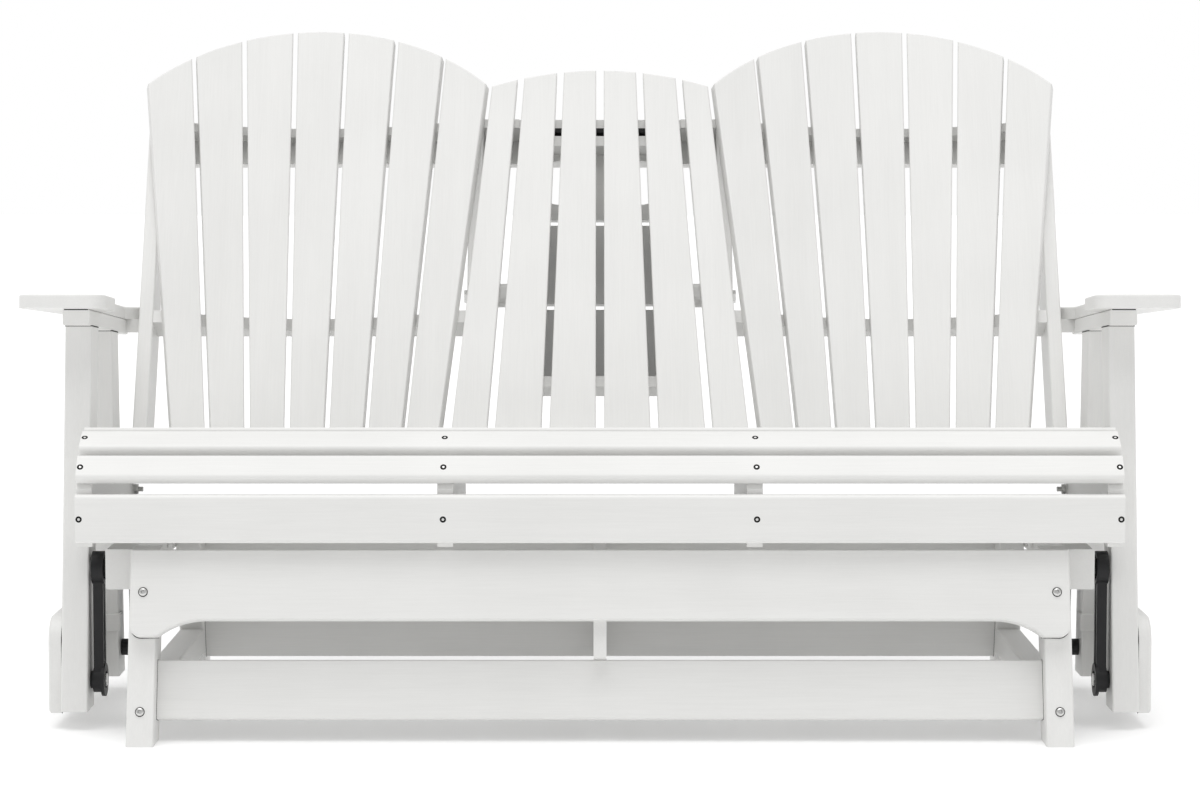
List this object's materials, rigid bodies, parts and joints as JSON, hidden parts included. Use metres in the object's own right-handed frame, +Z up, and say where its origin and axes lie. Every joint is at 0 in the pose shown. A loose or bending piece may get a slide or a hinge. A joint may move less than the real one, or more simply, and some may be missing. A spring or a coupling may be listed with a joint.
{
  "type": "glider loveseat",
  "caption": "Wide slatted garden glider in white poly lumber: fan backs, flat arms, a seat swung on links from a leaning-leg base, and a centre back that folds down as a table with cup holes.",
  "frame": {"origin": "bottom centre of the bounding box, on the floor between the feet", "axes": "+X to the sitter's left as seen from the front (picture right), +Y to the rear, +Z up; the sitter faces -Y"},
  "size_m": [1.6406, 0.791, 1.0025],
  "materials": {
    "white_lumber": "satin, faint brushed grain",
    "black_moulding": "satin moulded",
    "black_rubber": "matt",
    "stainless": "brushed"
  },
  "bodies": {
    "base": {"base_low_rail_left": "white_lumber", "base_low_rail_right": "white_lumber", "base_side_rail_left": "white_lumber", "base_side_rail_right": "white_lumber", "centre_brace": "white_lumber", "front_apron": "white_lumber", "front_leg_left": "white_lumber", "front_leg_right": "white_lumber", "front_stretcher": "white_lumber", "rear_apron": "white_lumber", "rear_leg_left": "white_lumber", "rear_leg_right": "white_lumber", "rear_stretcher": "white_lumber", "upper_pivot_bolts": "stainless"},
    "seat": {"arm_left": "white_lumber", "arm_rail_left": "white_lumber", "arm_rail_right": "white_lumber", "arm_right": "white_lumber", "back_bottom_rail_left": "white_lumber", "back_bottom_rail_right": "white_lumber", "back_bumper": "black_rubber", "back_low_rail_left": "white_lumber", "back_low_rail_right": "white_lumber", "back_upper_rail": "white_lumber", "fan_slats_left": "white_lumber", "fan_slats_right": "white_lumber", "fixed_centre_slats": "white_lumber", "front_post_left": "white_lumber", "front_post_right": "white_lumber", "inner_back_post_left": "white_lumber", "inner_back_post_right": "white_lumber", "low_side_board_left": "white_lumber", "low_side_board_right": "white_lumber", "lower_pivot_bolts": "stainless", "outer_back_post_left": "white_lumber", "outer_back_post_right": "white_lumber", "rear_post_left": "white_lumber", "rear_post_right": "white_lumber", "seat_crest_slat": "white_lumber", "seat_deck_slat_1": "white_lumber", "seat_deck_slat_2": "white_lumber", "seat_deck_slat_3": "white_lumber", "seat_deck_slat_4": "white_lumber", "seat_front_slat": "white_lumber", "seat_inner_rail_left": "white_lumber", "seat_inner_rail_right": "white_lumber", "seat_nose_slat": "white_lumber", "seat_outer_rail_left": "white_lumber", "seat_outer_rail_right": "white_lumber", "table_pivot_bolts": "stainless"},
    "table": {"table_battens": "white_lumber", "table_cup_board": "white_lumber", "table_pivot_blocks": "white_lumber", "table_slats": "white_lumber", "table_tray_boards": "white_lumber"},
    "front_link_left": {"front_link_left": "black_moulding"},
    "front_link_right": {"front_link_right": "black_moulding"},
    "rear_link_left": {"rear_link_left": "black_moulding"},
    "rear_link_right": {"rear_link_right": "black_moulding"}
  },
  "joints": [
    {"name": "glide", "type": "hinge", "parent": "base", "child": "front_link_left", "pos_m": [-0.7111, -0.2308, 0.228], "axis": [1, 0, 0], "range_deg": [-14, 14]},
    {"name": "seat_hang", "type": "hinge", "parent": "front_link_left", "child": "seat", "pos_m": [-0.7111, -0.2308, 0.0675], "axis": [1, 0, 0], "range_deg": [-14, 14]},
    {"name": "front_right_glide", "type": "hinge", "parent": "base", "child": "front_link_right", "pos_m": [0.7111, -0.2308, 0.228], "axis": [1, 0, 0], "range_deg": [-14, 14]},
    {"name": "rear_left_glide", "type": "hinge", "parent": "base", "child": "rear_link_left", "pos_m": [-0.7036, 0.07306, 0.228], "axis": [1, 0, 0], "range_deg": [-14, 14]},
    {"name": "rear_right_glide", "type": "hinge", "parent": "base", "child": "rear_link_right", "pos_m": [0.7036, 0.07306, 0.228], "axis": [1, 0, 0], "range_deg": [-14, 14]},
    {"name": "table_fold", "type": "hinge", "parent": "seat", "child": "table", "pos_m": [0, 0.17891, 0.59278], "axis": [1, 0, 0], "range_deg": [0, 117]}
  ],
  "couplings": [
    {"joint": "glide", "follows": "seat_hang", "ratio": -1},
    {"joint": "front_right_glide", "follows": "seat_hang", "ratio": -1},
    {"joint": "rear_left_glide", "follows": "seat_hang", "ratio": -1},
    {"joint": "rear_right_glide", "follows": "seat_hang", "ratio": -1}
  ]
}
